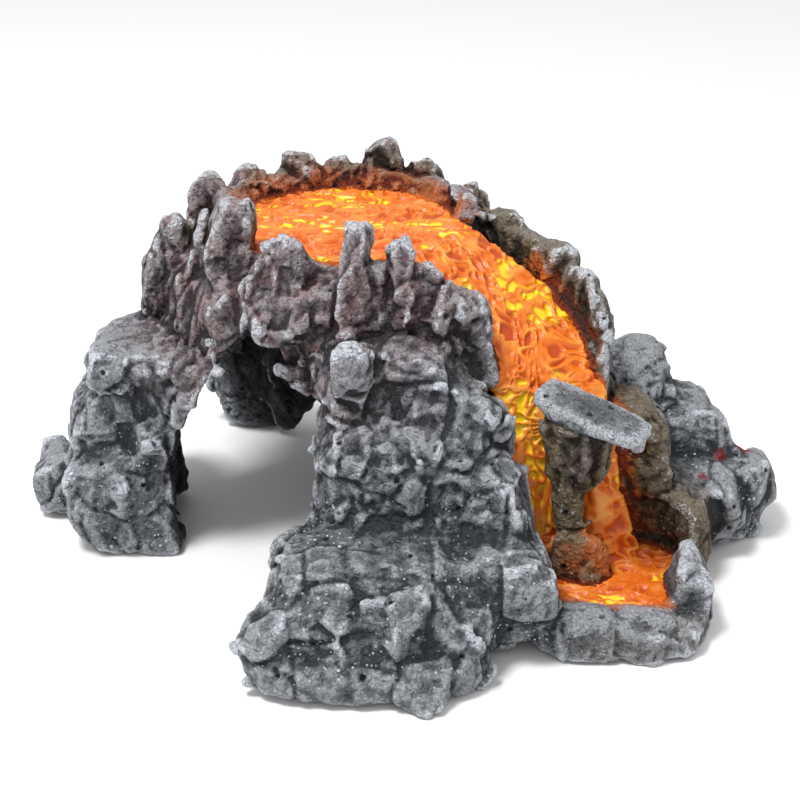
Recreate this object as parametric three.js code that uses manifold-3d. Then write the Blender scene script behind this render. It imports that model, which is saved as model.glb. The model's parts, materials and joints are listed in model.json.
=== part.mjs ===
// A resin cave ornament for an aquarium or a terrarium: a hollow volcano that stands on rocky legs, with lava
// that fills the crater, runs down a channel past a bridge of rock and gathers in a basin at the foot.
// The body is cast in sections, and the lava, the crater's spires and the loose rocks are bonded onto it.
// Millimetres, +Z up, standing on Z = 0, with the origin under the middle of the whole ornament.
// -Y faces the side that shows the cave's mouth on the left and the lava on the right.
import * as THREE from "three";
import { mergeVertices } from "three/addons/utils/BufferGeometryUtils.js";
import Module from "manifold-3d";

const wasm = await Module();
wasm.setup();

// ---- Driving dimensions -----------------------------------------------------------------------------

const BOND_GAP = 0.35; // between one casting and the next, filled with adhesive on the real ornament
const SKY = 140; // above every spire, for clearing away the rock over the crater
const CRATER = { x: -18, y: 13, lavaLevel: 104, lavaRadius: 37, lavaDepth: 6 };
const BASIN = { x: 69, y: -57, lavaLevel: 11, lavaDepth: 5, halfWidth: 25, halfDepth: 23 };
const CHUTE_DEPTH = 5; // thickness of the lava in the channels
const CHUTE_CLEARANCE = 30; // rock is cleared this far above the lava of the main channel
const SIDE_CLEARANCE = 14; // and this far above the lava of the side channel
const BASIN_CLEARANCE = 49; // and this far above the lava of the basin
const FLOOR_SIZE = 400; // wider than the ornament, for trimming what reaches below the floor
const POOL_SIDES = 28; // straight edges round a pool of lava

// ---- Shapes -----------------------------------------------------------------------------------------

const smooth = (t) => t * t * (3 - 2 * t);
const mix = (a, b, t) => a + (b - a) * t;

// A repeatable number from 0 to 1 for a point of the noise lattice.
function hash(x, y, z, seed) {
  const s = Math.sin(x * 127.1 + y * 311.7 + z * 74.7 + seed * 53.3) * 43758.5453;
  return s - Math.floor(s);
}

// Smooth noise from -1 to 1 at a point.
function noise(x, y, z, seed) {
  const [i, j, k] = [Math.floor(x), Math.floor(y), Math.floor(z)];
  const [u, v, w] = [smooth(x - i), smooth(y - j), smooth(z - k)];
  const edge = (dj, dk) => mix(hash(i, j + dj, k + dk, seed), hash(i + 1, j + dj, k + dk, seed), u);
  return 2 * mix(mix(edge(0, 0), edge(1, 0), v), mix(edge(0, 1), edge(1, 1), v), w) - 1;
}

// A three.js geometry as a solid that can be joined and cut.
function solidOf(geometry) {
  const bare = geometry.clone();
  for (const name of ["normal", "uv"]) bare.deleteAttribute(name);
  const merged = mergeVertices(bare, 1e-4);
  return new wasm.Manifold(
    new wasm.Mesh({
      numProp: 3,
      vertProperties: merged.attributes.position.array,
      triVerts: new Uint32Array(merged.index.array),
    }),
  );
}

// Moves each vertex of a geometry to where place() says.
function reshape(geometry, place) {
  const points = geometry.attributes.position;
  const p = new THREE.Vector3();
  for (let i = 0; i < points.count; i++) {
    place(p.fromBufferAttribute(points, i));
    points.setXYZ(i, p.x, p.y, p.z);
  }
  return geometry;
}

// A weathered rock: a block with round corners that smooth noise pushes about. size is its full width, depth
// and height, turn its rotation about X, Y and Z in degrees, square how boxy it is (2 is an ellipsoid), and
// taper how much narrower its top is than its foot.
function rock(shape, grow = 0) {
  const { at, size, turn = [0, 0, 0], square = 2.8, rough = 0.12, taper = 0, detail = 2, seed = 1 } = shape;
  const half = size.map((s) => s / 2 + grow);
  const angles = turn.map(THREE.MathUtils.degToRad);
  const frame = new THREE.Matrix4().makeRotationFromEuler(new THREE.Euler(...angles)).setPosition(...at);
  const geometry = reshape(new THREE.IcosahedronGeometry(1, detail), (p) => {
    const sum = Math.abs(p.x) ** square + Math.abs(p.y) ** square + Math.abs(p.z) ** square;
    const bumps = 1 + rough * noise(1.6 * p.x + seed, 1.6 * p.y, 1.6 * p.z, seed);
    p.multiplyScalar(bumps * sum ** (-1 / square));
    const narrow = 1 - taper * (0.5 + 0.5 * p.z);
    p.set(p.x * half[0] * narrow, p.y * half[1] * narrow, p.z * half[2]);
  });
  return solidOf(geometry.applyMatrix4(frame));
}

const join = (solids) => wasm.Manifold.union(solids);
const heap = (rocks, grow = 0) => join(rocks.map((r) => rock(r, grow)));

// A flat round pool of lava.
function pool({ x, y, level, depth, halfWidth, halfDepth }, grow = 0) {
  const profile = [
    new THREE.Vector2(0, -depth - grow),
    new THREE.Vector2(0.9 + grow / halfWidth, -depth - grow),
    new THREE.Vector2(1 + grow / halfWidth, -depth / 2),
    new THREE.Vector2(1 + grow / halfWidth, grow),
    new THREE.Vector2(0, grow),
  ];
  const geometry = new THREE.LatheGeometry(profile, POOL_SIDES).rotateX(Math.PI / 2);
  return solidOf(geometry.scale(halfWidth, halfDepth, 1).translate(x, y, level));
}

// A stream of lava that follows stations, each with the middle of the surface, the half width, and the
// direction that the surface faces. It reaches from bottom to top, measured along that direction.
function stream(stations, bottom, top, grow = 0) {
  const line = new THREE.CatmullRomCurve3(stations.map((s) => new THREE.Vector3(...s.at)));
  const facing = new THREE.CatmullRomCurve3(stations.map((s) => new THREE.Vector3(...s.faces)));
  const steps = 3 * (stations.length - 1);
  const box = new THREE.BoxGeometry(1, 1, 1, 2, 1, steps);
  return solidOf(
    reshape(box, (p) => {
      const t = p.z + 0.5;
      const k = Math.min(stations.length - 2, Math.floor(t * (stations.length - 1)));
      const f = t * (stations.length - 1) - k;
      const halfWidth = mix(stations[k].half, stations[k + 1].half, f) + grow;
      const up = facing.getPoint(t).normalize();
      const along = line.getTangent(t);
      const side = new THREE.Vector3().crossVectors(up, along).normalize();
      const across = 2 * p.x * halfWidth;
      const height = p.y > 0 ? top : bottom;
      p.copy(line.getPoint(t)).addScaledVector(side, across).addScaledVector(up, height);
    }),
  );
}

// ---- The cave's hollow ------------------------------------------------------------------------------

const HOLLOW = [
  { at: [-32, 12, 27], size: [92, 92, 118], square: 3, rough: 0.05, detail: 3, seed: 3 }, // chamber
  { at: [-50, -46, 26], size: [42, 76, 116], turn: [0, 0, -20], rough: 0.06, seed: 5 }, // mouth
  { at: [-86, 56, 14], size: [40, 80, 84], turn: [0, 0, 38], rough: 0.06, seed: 7 }, // rear left
  { at: [-20, 78, 2], size: [38, 60, 38], rough: 0.06, seed: 9 }, // low arch at the back
];

// ---- Castings of the body ---------------------------------------------------------------------------

const CONE = [
  { at: [-18, 13, 85], size: [112, 104, 43], square: 3.4, rough: 0.07, taper: 0.14, detail: 3, seed: 11 },
  { at: [-66, 6, 84], size: [26, 42, 30], turn: [0, 12, 0], rough: 0.12, seed: 12 },
  { at: [-52, -20, 86], size: [28, 24, 24], rough: 0.12, seed: 13 },
  { at: [-22, -35, 91], size: [56, 18, 20], square: 3.2, rough: 0.12, seed: 14 },
  { at: [13, -34, 90], size: [30, 18, 22], rough: 0.12, seed: 15 },
];

const CHANNEL_BED = [
  { at: [32, 2, 42], size: [66, 74, 64], square: 3.4, rough: 0.08, detail: 3, seed: 21 },
  { at: [48, -18, 32], size: [44, 52, 60], square: 3.4, rough: 0.08, seed: 22 },
];

const FRONT_BUTTRESS = [
  { at: [-2, -44, 71], size: [49, 28, 32], turn: [-10, 0, 0], square: 3.8, rough: 0.1, seed: 31 },
  { at: [2, -54, 44], size: [60, 36, 48], square: 3.6, rough: 0.1, seed: 32 },
  { at: [-7, -78, 19], size: [76, 54, 38], square: 4.5, rough: 0.08, taper: 0.25, detail: 3, seed: 33 },
  { at: [-9, -95, 6], size: [76, 40, 18], square: 3, rough: 0.1, seed: 34 },
  { at: [22, -54, 62], size: [18, 22, 30], rough: 0.14, seed: 35 },
  { at: [28, -62, 38], size: [24, 26, 34], rough: 0.14, seed: 36 },
  { at: [31, -75, 19], size: [34, 34, 36], square: 3.2, rough: 0.12, seed: 37 },
];

const LEFT_LEG = [
  { at: [-82, -6, 67], size: [40, 42, 16], square: 6, rough: 0.06, seed: 41 },
  { at: [-83, -4, 56], size: [36, 38, 30], square: 3.4, rough: 0.1, seed: 46 },
  { at: [-95, 2, 38], size: [34, 42, 38], turn: [0, 14, 0], square: 3.2, rough: 0.1, seed: 42 },
  { at: [-93, -9, 17], size: [41, 42, 42], square: 3.4, rough: 0.1, seed: 43 },
  { at: [-86, 24, 22], size: [24, 30, 60], rough: 0.14, seed: 44 },
  { at: [-66, -16, 60], size: [20, 26, 44], turn: [0, 34, 0], rough: 0.12, seed: 45 },
];

const REAR_WALL = [
  { at: [-58, 74, 30], size: [28, 24, 74], turn: [14, 0, 0], rough: 0.12, seed: 51 },
  { at: [18, 58, 40], size: [72, 42, 92], turn: [14, 0, 0], square: 3.2, rough: 0.1, detail: 3, seed: 52 },
  { at: [-28, 60, 66], size: [66, 30, 40], turn: [16, 0, 0], square: 3, rough: 0.12, seed: 53 },
  { at: [-33, 66, 32], size: [34, 26, 60], turn: [14, 0, 0], rough: 0.12, seed: 55 },
  { at: [52, 40, 30], size: [48, 46, 68], square: 3, rough: 0.12, seed: 54 },
];

const RIGHT_OUTCROP = [
  { at: [81, 14, 31], size: [27, 46, 62], square: 3.2, rough: 0.1, seed: 61 },
  { at: [97, 7, 22], size: [30, 42, 48], square: 3, rough: 0.12, seed: 62 },
  { at: [101, -10, 14], size: [32, 36, 34], rough: 0.14, seed: 63 },
];

const RIGHT_BANK = [
  { at: [36, 26, 89], size: [14, 24, 32], turn: [0, 0, 36], square: 3, rough: 0.14, seed: 71 },
  { at: [44, 15, 85], size: [14, 24, 34], turn: [0, 0, 36], square: 3, rough: 0.14, seed: 72 },
  { at: [52, 5, 83], size: [14, 24, 38], turn: [0, 0, 36], square: 3, rough: 0.14, seed: 73 },
  { at: [58, -6, 78], size: [13, 24, 42], turn: [0, 0, 30], square: 3, rough: 0.14, seed: 74 },
  { at: [63, -17, 69], size: [12, 22, 44], turn: [0, 0, 16], square: 3, rough: 0.14, seed: 75 },
];

const LOWER_BANK = [
  { at: [74, -20, 32], size: [30, 40, 54], turn: [0, 10, 0], square: 3, rough: 0.12, seed: 81 },
  { at: [88, -32, 14], size: [30, 38, 34], rough: 0.12, seed: 82 },
];

const BASIN_BOWL = [{ at: [67, -62, 3], size: [58, 60, 20], square: 3.6, rough: 0.06, detail: 3, seed: 91 }];

// ---- Lava -------------------------------------------------------------------------------------------

const CHUTE = [
  { at: [4, -1, 104], half: 19, faces: [0, 0, 1] },
  { at: [14, -7, 103], half: 19, faces: [0.3, -0.2, 1] },
  { at: [28, -13, 93], half: 19, faces: [0.5, -0.4, 1] },
  { at: [41, -21, 80], half: 18, faces: [0.5, -0.6, 1] },
  { at: [45, -32, 69], half: 17, faces: [0.4, -0.9, 0.8] },
  { at: [44, -41, 50], half: 12, faces: [0.2, -1, 0.3] },
  { at: [47, -45, 26], half: 10, faces: [0.2, -1, 0.2] },
  { at: [53, -50, 9], half: 10, faces: [0.2, -1, 0.6] },
];

const SIDE_FALL = [
  { at: [58, -30, 65], half: 6, faces: [0.4, -0.9, 0.9] },
  { at: [62, -38, 54], half: 5, faces: [0.3, -1, 0.4] },
  { at: [65, -42, 34], half: 5, faces: [0.2, -1, 0.2] },
  { at: [70, -47, 9], half: 8, faces: [0.2, -1, 0.6] },
];

// ---- Loose rocks ------------------------------------------------------------------------------------

const LOOSE_ROCKS = {
  bridge_slab: [
    { at: [59, -51, 65], size: [40, 21, 6], turn: [8, 12, -28], square: 7, rough: 0.06, seed: 101 },
  ],
  bridge_block: [{ at: [55, -51, 51], size: [17, 10, 30], taper: -0.8, rough: 0.1, seed: 102 }],
  bridge_pillar: [{ at: [53, -51, 33], size: [12, 11, 22], rough: 0.14, seed: 103 }],
  basin_boulder: [{ at: [57, -57, 19], size: [22, 16, 18], rough: 0.14, seed: 104 }],
  bank_tooth: [{ at: [75, -42, 56], size: [9, 8, 20], taper: 0.5, rough: 0.14, seed: 105 }],
  basin_front_rim: [
    { at: [53, -83, 6], size: [26, 18, 20], square: 3, rough: 0.14, seed: 106 },
    { at: [72, -82, 5], size: [26, 18, 18], square: 3, rough: 0.14, seed: 107 },
  ],
  basin_corner_rock: [{ at: [90, -66, 10], size: [15, 24, 30], square: 3, rough: 0.16, seed: 108 }],
  outcrop_end_boulder: [{ at: [114, -4, 12], size: [29, 28, 38], turn: [0, 20, 0], rough: 0.14, seed: 109 }],
  left_foot_boulder: [{ at: [-116, 12, 9], size: [26, 30, 30], square: 3, rough: 0.14, seed: 110 }],
  perched_rock: [{ at: [-15, -58, 84], size: [13, 9, 18], square: 3.6, rough: 0.12, seed: 111 }],
};

const SPIRE_LEAN = 13; // degrees that the rocks round the crater lean in over it

// The rocks that stand round the crater: x, y and height of the tip, then width, depth and length.
const SPIRES = {
  rear_tall: [-7, 53, 123, 19, 14, 34],
  rear_centre: [-21, 54, 118, 13, 12, 28],
  rear_left: [-36, 52, 118, 18, 13, 30],
  rear_right: [9, 50, 118, 15, 13, 30],
  right_rear: [24, 39, 112, 13, 13, 28],
  left_rear: [-51, 42, 118, 16, 13, 30],
  left_low: [-63, 31, 119, 14, 13, 38],
  left_outer: [-73, 11, 111, 17, 19, 42],
  left_slim: [-61, -2, 118, 9, 10, 42],
  left_tall: [-51, -11, 122, 18, 15, 46],
  front_left: [-34, -28, 117, 19, 15, 40],
  front_forked: [-14, -33, 122, 16, 13, 42],
  front_centre: [-1, -32, 116, 12, 12, 38],
  front_right: [9, -31, 111, 10, 11, 32],
  front_last: [21, -33, 102, 13, 12, 34],
};

// ---- Assembly ---------------------------------------------------------------------------------------

const GREY = { color: 0x6b6d72, roughness: 0.85, metalness: 0 };
const PURPLE = { color: 0x6d5c5e, roughness: 0.85, metalness: 0 };
const BROWN = { color: 0x6b4a26, roughness: 0.8, metalness: 0 };
const LAVA = { color: 0xff7a12, roughness: 0.5, metalness: 0 };

const model = new THREE.Group();
const floorBlock = new THREE.BoxGeometry(FLOOR_SIZE, FLOOR_SIZE, FLOOR_SIZE);
const belowFloor = solidOf(floorBlock.translate(0, 0, -FLOOR_SIZE / 2));
const hollow = heap(HOLLOW);
const placed = []; // each casting so far, a little larger, so that the next one is cut to stay clear of it

// Adds a casting, cut to stand on the floor and clear of the castings before it and of what cutters hold.
function cast(name, make, look, cutters = []) {
  const near = make(BOND_GAP);
  const cut = join([belowFloor, ...cutters, ...placed]);
  const pieces = make(0).subtract(cut).decompose();
  const whole = pieces.reduce((a, b) => (a.volume() > b.volume() ? a : b));
  placed.push(near);
  const data = whole.getMesh();
  const geometry = new THREE.BufferGeometry();
  geometry.setAttribute("position", new THREE.BufferAttribute(data.vertProperties, 3));
  geometry.setIndex(new THREE.BufferAttribute(data.triVerts, 1));
  geometry.computeVertexNormals();
  const mesh = new THREE.Mesh(geometry, new THREE.MeshStandardMaterial(look));
  mesh.name = name;
  model.add(mesh);
}

const craterLava = {
  ...CRATER,
  level: CRATER.lavaLevel,
  depth: CRATER.lavaDepth,
  halfWidth: CRATER.lavaRadius,
  halfDepth: CRATER.lavaRadius,
};
const basinLava = { ...BASIN, level: BASIN.lavaLevel, depth: BASIN.lavaDepth };
const overCrater = pool({ ...craterLava, level: SKY, depth: SKY - CRATER.lavaLevel });
const overChute = stream(CHUTE, -1, CHUTE_CLEARANCE);
const overSideFall = stream(SIDE_FALL, -1, SIDE_CLEARANCE);
const overBasin = pool({ ...basinLava, level: BASIN.lavaLevel + BASIN_CLEARANCE, depth: BASIN_CLEARANCE });

cast("crater_lava", (g) => pool(craterLava, g), LAVA);
cast("basin_lava", (g) => pool(basinLava, g), LAVA);
cast("chute_lava", (g) => stream(CHUTE, -CHUTE_DEPTH - g, g, g), LAVA, [hollow]);
cast("side_fall_lava", (g) => stream(SIDE_FALL, -CHUTE_DEPTH - g, g, g), LAVA, [hollow]);
cast("cone_shell", (g) => heap(CONE, g), PURPLE, [hollow, overCrater, overChute]);
cast("front_buttress", (g) => heap(FRONT_BUTTRESS, g), GREY, [hollow, overCrater]);
cast("channel_bed", (g) => heap(CHANNEL_BED, g), BROWN, [hollow, overChute, overSideFall, overBasin]);
cast("left_leg", (g) => heap(LEFT_LEG, g), GREY, [hollow]);
cast("right_bank", (g) => heap(RIGHT_BANK, g), GREY, [hollow, overCrater, overChute]);
cast("lower_bank", (g) => heap(LOWER_BANK, g), BROWN, [overChute, overSideFall, overBasin]);
cast("right_outcrop", (g) => heap(RIGHT_OUTCROP, g), GREY, [hollow]);
cast("rear_wall", (g) => heap(REAR_WALL, g), GREY, [hollow, overCrater]);
cast("basin_bowl", (g) => heap(BASIN_BOWL, g), BROWN, [overBasin]);
for (const [name, rocks] of Object.entries(LOOSE_ROCKS)) cast(name, (g) => heap(rocks, g), GREY, [hollow]);
for (const [place, [x, y, top, width, depth, length]] of Object.entries(SPIRES)) {
  const inward = new THREE.Vector2(CRATER.x - x, CRATER.y - y).normalize();
  const lean = THREE.MathUtils.degToRad(SPIRE_LEAN);
  const spire = {
    at: [
      x - (inward.x * Math.sin(lean) * length) / 2,
      y - (inward.y * Math.sin(lean) * length) / 2,
      top - (Math.cos(lean) * length) / 2,
    ],
    size: [width, depth, length],
    turn: [-SPIRE_LEAN * inward.y, SPIRE_LEAN * inward.x, 0],
    square: 3,
    rough: 0.14,
    taper: 0.2,
    seed: 200 + x,
  };
  cast("spire_" + place, (g) => rock(spire, g), PURPLE, [hollow]);
}

const box = new THREE.Box3().setFromObject(model);
const middle = box.getCenter(new THREE.Vector3());
model.position.set(-middle.x, -middle.y, 0);

export default model;
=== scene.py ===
"""A resin cave ornament: a hollow volcano of painted rock, with lava in its crater, channels and basin.

Each CAD casting is replaced by a rugged piece of the same size in the same place. All the pieces are carved
from one distance field. It starts as the distances to the castings and the stones strewn over them. It is
then carved into facets, cracks, ribs and lumps, and divided again along the seams, so that neighbours meet
without a gap.
"""

import json
import math
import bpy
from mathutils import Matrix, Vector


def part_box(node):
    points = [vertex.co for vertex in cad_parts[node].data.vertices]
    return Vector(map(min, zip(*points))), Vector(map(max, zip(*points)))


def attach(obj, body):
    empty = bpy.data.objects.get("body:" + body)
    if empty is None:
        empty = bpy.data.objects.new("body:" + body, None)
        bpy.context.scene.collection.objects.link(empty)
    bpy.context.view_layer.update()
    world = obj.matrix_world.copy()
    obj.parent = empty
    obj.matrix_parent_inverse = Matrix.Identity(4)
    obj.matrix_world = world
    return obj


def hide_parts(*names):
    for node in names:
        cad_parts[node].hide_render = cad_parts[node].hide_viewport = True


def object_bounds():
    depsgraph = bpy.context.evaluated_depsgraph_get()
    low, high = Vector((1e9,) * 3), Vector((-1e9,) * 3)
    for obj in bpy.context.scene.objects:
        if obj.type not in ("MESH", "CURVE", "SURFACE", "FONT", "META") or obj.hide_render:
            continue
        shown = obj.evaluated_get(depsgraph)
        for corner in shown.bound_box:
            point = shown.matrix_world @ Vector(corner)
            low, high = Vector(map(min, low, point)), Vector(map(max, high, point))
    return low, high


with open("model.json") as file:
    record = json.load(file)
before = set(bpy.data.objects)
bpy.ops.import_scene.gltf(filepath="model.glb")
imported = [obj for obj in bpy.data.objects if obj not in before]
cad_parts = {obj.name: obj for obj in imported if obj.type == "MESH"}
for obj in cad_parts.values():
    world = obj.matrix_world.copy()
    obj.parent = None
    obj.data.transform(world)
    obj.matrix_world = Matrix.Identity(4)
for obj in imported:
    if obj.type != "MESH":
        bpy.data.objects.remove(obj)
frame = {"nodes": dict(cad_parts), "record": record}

from concurrent.futures import ThreadPoolExecutor

import bpy
import numpy as np
import openvdb
from mathutils import Euler, Vector

CAD_LOW, CAD_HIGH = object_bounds()

# ---- Sizes, in metres --------

MM = 0.001
VOXEL = 0.75 * MM  # step of the distance field
BAND = 6 * MM  # distances are kept this far from a surface
MARGIN = 9 * MM  # room round the castings for what is added to them
CARVED = 5.2 * MM  # relief is added this far from a surface
RELIEF_FADE = 1.6  # the higher it is, the closer to that distance the relief starts to fade
SWELL = 0.35 * MM  # growth that closes the bond gaps between castings
FILLET = 3.2 * MM  # how softly one casting runs into the next
FILL = 5.5 * MM  # hollows narrower than about twice this are filled, away from the lava and the spires
THINNEST = 1.1 * MM  # rock thinner than twice this is worn away
WEAR = 1.4 * MM  # rock taken off all round before its relief is added
OVERLAP = 0.25 * MM  # neighbours run into each other by this much, so that no seam shows
SHARP = math.radians(62)  # edges that bend more than this aren't shaded smooth

LAVA = ["crater_lava", "chute_lava", "side_fall_lava", "basin_lava"]
ROCKS = [name for name in sorted(frame["nodes"]) if name not in LAVA]
NAMES = LAVA + ROCKS
NOTHING = 255  # stands for the number of a casting where none is near
SLOTS = {part["node"]: part["material_slot"] for part in frame["record"]["subparts"]}

# How each casting looks. Facets, lumps and flutes are shares of the usual depth, and tall stretches the
# facets upwards. Dust and top light is how much paler its level tops are, partly dust and partly
# painted light from above, and chalk its share of the dry-brushed paint.
# Brown is its share of brown paint near the lava, and orange its share of orange paint in patches all over.
# Sprayed is how far from the lava the rock that faces it is orange. Stones is the size of the stones strewn
# over it, or 0, and they lie between two heights.
NO_LIMIT = 1.0
USUAL = {
    "facets": 1.0,
    "lumps": 1.0,
    "flutes": 0.15,
    "tall": 1.0,
    "dust_and_top_light": 1.0,
    "chalk": 1.0,
    "brown": 0.0,
    "orange": 0.0,
    "sprayed": 10 * MM,
    "stones": 0.0,
    "stones_between": (6 * MM, NO_LIMIT),
}
BRIDGE_STONE = {"facets": 0.7, "tall": 1.5, "chalk": 0.3, "brown": 0.9}
CHARACTER = {
    "cone_shell": {
        "flutes": 1.2, "tall": 2.2, "chalk": 0.75, "sprayed": 14 * MM,
        "stones": 6.5 * MM, "stones_between": (72 * MM, NO_LIMIT),
    },
    "front_buttress": {"flutes": 0.3, "tall": 1.2, "dust_and_top_light": 0.55, "stones": 8.5 * MM},
    "left_leg": {"facets": 0.8, "tall": 1.4, "stones": 8.5 * MM, "stones_between": (6 * MM, 50 * MM)},
    "right_outcrop": {"facets": 0.8, "stones": 8.5 * MM},
    "rear_wall": {"tall": 1.2, "stones": 8.0 * MM},
    "right_bank": {"facets": 0.7, "flutes": 0.6, "tall": 1.8, "brown": 0.6},
    "lower_bank": {"facets": 0.7, "chalk": 0.5, "brown": 0.85},
    "channel_bed": {"facets": 0.7},
    "bridge_slab": {"facets": 0.15, "lumps": 0.2, "flutes": 0, "dust_and_top_light": -0.3, "chalk": 0.6},
    "bridge_block": BRIDGE_STONE,
    "bridge_pillar": BRIDGE_STONE,
    "bank_tooth": {"facets": 0.4, "lumps": 0.5, "brown": 0.6},
    "basin_bowl": {"brown": 0.2},
    "basin_boulder": {"chalk": 0.3, "brown": 0.9, "orange": 0.65},
    "basin_front_rim": {"facets": 0.8},
    "perched_rock": {"facets": 0.5, "lumps": 0.6},
}
SPIRE_CHARACTER = {"facets": 0.9, "flutes": 0.8, "tall": 2.2, "chalk": 0.8, "sprayed": 14 * MM}
REAR_SPIRE_CHARACTER = {**SPIRE_CHARACTER, "brown": 0.6, "sprayed": 12 * MM}
APART = ("spire_", "bridge_", "bank_tooth", "basin_", "perched_rock")  # no hollow beside these is filled


def character(name):
    """How the casting with that name looks."""
    if name.startswith("spire_rear") or name == "spire_right_rear":
        return {**USUAL, **REAR_SPIRE_CHARACTER}
    if name.startswith("spire_"):
        return {**USUAL, **SPIRE_CHARACTER}
    return {**USUAL, **CHARACTER.get(name, {})}


# ---- Noise --------
# Each use of noise has a shift of its own, a number that only makes it differ from the others.

TILE = 64  # the noise repeats after this many cells
NOISE_SEED = 20
FINER = 2.1  # each layer of noise is this much finer than the one before
CELL_EDGE = 0.1  # a cell's centre stays this far inside its sides, in cells
SLICE = 1 << 17  # how many points one thread works on at a time
THREADS = 4

_random = np.random.default_rng(NOISE_SEED)
HEIGHTS = _random.random(TILE**3, dtype=np.float32)
CENTRES = _random.random((TILE**3, 3), dtype=np.float32)


def key_of(i, j, k):
    """The number of a cell, by which its height and its centre are looked up."""
    wrap = TILE - 1
    return (((i & wrap) * TILE) + (j & wrap)) * TILE + (k & wrap)


def between_corners(corner, cell, part):
    """The value part of the way across a cell, from its eight corners. Corner gives the value at one."""
    i, j, k = cell.astype(np.int32).T
    u, v, w = part.T
    total = 0
    for di, wu in ((0, 1 - u), (1, u)):
        for dj, wv in ((0, 1 - v), (1, v)):
            for dk, ww in ((0, 1 - w), (1, w)):
                total = total + wu * wv * ww * corner(i + di, j + dj, k + dk)
    return total


def noise(points, size, shift=0.0):
    """Smooth noise from -1 to 1, with lumps of about that size."""
    q = points / np.float32(size) + np.float32(shift)
    cell = np.floor(q)
    part = q - cell
    part = part * part * (3 - 2 * part)
    return 2 * between_corners(lambda i, j, k: HEIGHTS[key_of(i, j, k)], cell, part) - 1


def wander(points, size, *shifts):
    """A smooth shift of each point, from -1 to 1 along each axis."""
    return np.stack([noise(points, size, shift) for shift in shifts], 1)


def layered(points, size, octaves, shift=0.0):
    """Noise with finer and finer lumps added, from about -1 to 1."""
    total, share = 0, 0.55
    for octave in range(octaves):
        total = total + share * noise(points, size / FINER**octave, shift + 7.3 * octave)
        share *= 0.5
    return total


def ridged(points, size, octaves, shift=0.0):
    """Noise with sharp crests, from about 0 to 1."""
    total, share = 0, 0.5
    for octave in range(octaves):
        crest = 1 - np.abs(noise(points, size / FINER**octave, shift + 5.1 * octave))
        total = total + share * crest**2
        share *= 0.5
    return total


def cells(points, size, shift=0.0):
    """For each point: how far the nearest cell's centre and the next one's are, in cells, the way from the
    nearest centre, and that cell's number."""
    q = points / np.float32(size) + np.float32(shift)
    base = np.floor(q).astype(np.int32)
    near = np.full(len(q), 9, np.float32)
    following = near.copy()
    way = np.zeros_like(q)
    number = np.zeros(len(q), np.int32)
    for step in np.ndindex(3, 3, 3):
        cell = base + np.array(step, np.int32) - 1
        key = key_of(*cell.T)
        offset = q - (cell + CELL_EDGE + (1 - 2 * CELL_EDGE) * CENTRES[key])
        distance = np.sqrt(np.sqrt((offset**4).sum(1)))  # rounder than a cube, squarer than a ball
        closer = distance < near
        following = np.where(closer, near, np.minimum(following, distance))
        near = np.where(closer, distance, near)
        way[closer] = offset[closer]
        number[closer] = key[closer]
    return near, following, way, number


def smoothstep(low, high, x):
    """From 0 where x is low to 1 where it is high, with soft ends."""
    t = np.clip((x - low) / (high - low), 0, 1)
    return t * t * (3 - 2 * t)


def in_parts(work, *arrays):
    """What work gives for slices of the arrays, done by several threads and joined."""
    starts = range(0, len(arrays[0]), SLICE)
    with ThreadPoolExecutor(THREADS) as pool:
        done = list(pool.map(lambda at: work(*(a[at : at + SLICE] for a in arrays)), starts))
    if isinstance(done[0], tuple):
        return tuple(np.concatenate(column) for column in zip(*done))
    return np.concatenate(done)


# ---- The distance field --------

GRID_LOW = np.floor((np.array(CAD_LOW) - MARGIN) / VOXEL).astype(int)
GRID_SHAPE = np.ceil((np.array(CAD_HIGH) + MARGIN) / VOXEL).astype(int) - GRID_LOW + 1
GRID_START = tuple(int(i) for i in GRID_LOW)
LAVA_STEP, LAVA_REACH = 2.5 * MM, 40 * MM  # of the coarse field of distances to the lava
ROUGH_STEP, ROUGH_REACH = 2 * MM, 18 * MM  # of the coarse field of distances to the uncarved rock


def mesh_arrays(mesh):
    """A mesh's points, and its triangles as point numbers."""
    points = np.empty(3 * len(mesh.vertices), np.float32)
    mesh.vertices.foreach_get("co", points)
    mesh.calc_loop_triangles()
    triangles = np.empty(3 * len(mesh.loop_triangles), np.int32)
    mesh.loop_triangles.foreach_get("vertices", triangles)
    return points.reshape(-1, 3), triangles.reshape(-1, 3)


def level_set(points, triangles, step, reach):
    """A grid of distances to a closed surface, out to reach."""
    transform = openvdb.createLinearTransform(step)
    return openvdb.FloatGrid.createLevelSetFromPolygons(
        points, triangles=triangles.astype(np.uint32), transform=transform, halfWidth=reach / step
    )


def start_of(part):
    """The grid point where some slices start, as the library of distance fields counts it."""
    return tuple(int(s.start + low) for s, low in zip(part, GRID_LOW))


def part_of_grid(low, high):
    """The slices of the grid that hold a box."""
    first = np.clip(np.floor(np.array(low) / VOXEL).astype(int) - GRID_LOW, 0, GRID_SHAPE - 1)
    last = np.clip(np.ceil(np.array(high) / VOXEL).astype(int) - GRID_LOW, 0, GRID_SHAPE - 1)
    return tuple(slice(a, b + 1) for a, b in zip(first, last))


def places(part):
    """The place of each grid point in those slices."""
    axes = [np.arange(s.start, s.stop) + GRID_LOW[axis] for axis, s in enumerate(part)]
    return np.stack(np.meshgrid(*axes, indexing="ij"), -1).astype(np.float32) * np.float32(VOXEL)


def sampled(field, points):
    """A field's value at each point. A field is an array, the grid point where it starts, and its step."""
    array, low, step = field
    q = points / np.float32(step) - np.asarray(low, np.float32)
    q = np.clip(q, 0, np.array(array.shape, np.float32) - 1.001)
    cell = q.astype(np.int32)
    return between_corners(lambda i, j, k: array[i, j, k], cell, (q - cell).astype(np.float32))


def on_grid(array):
    """The field of an array that covers the whole grid."""
    return array, GRID_LOW, VOXEL


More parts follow.
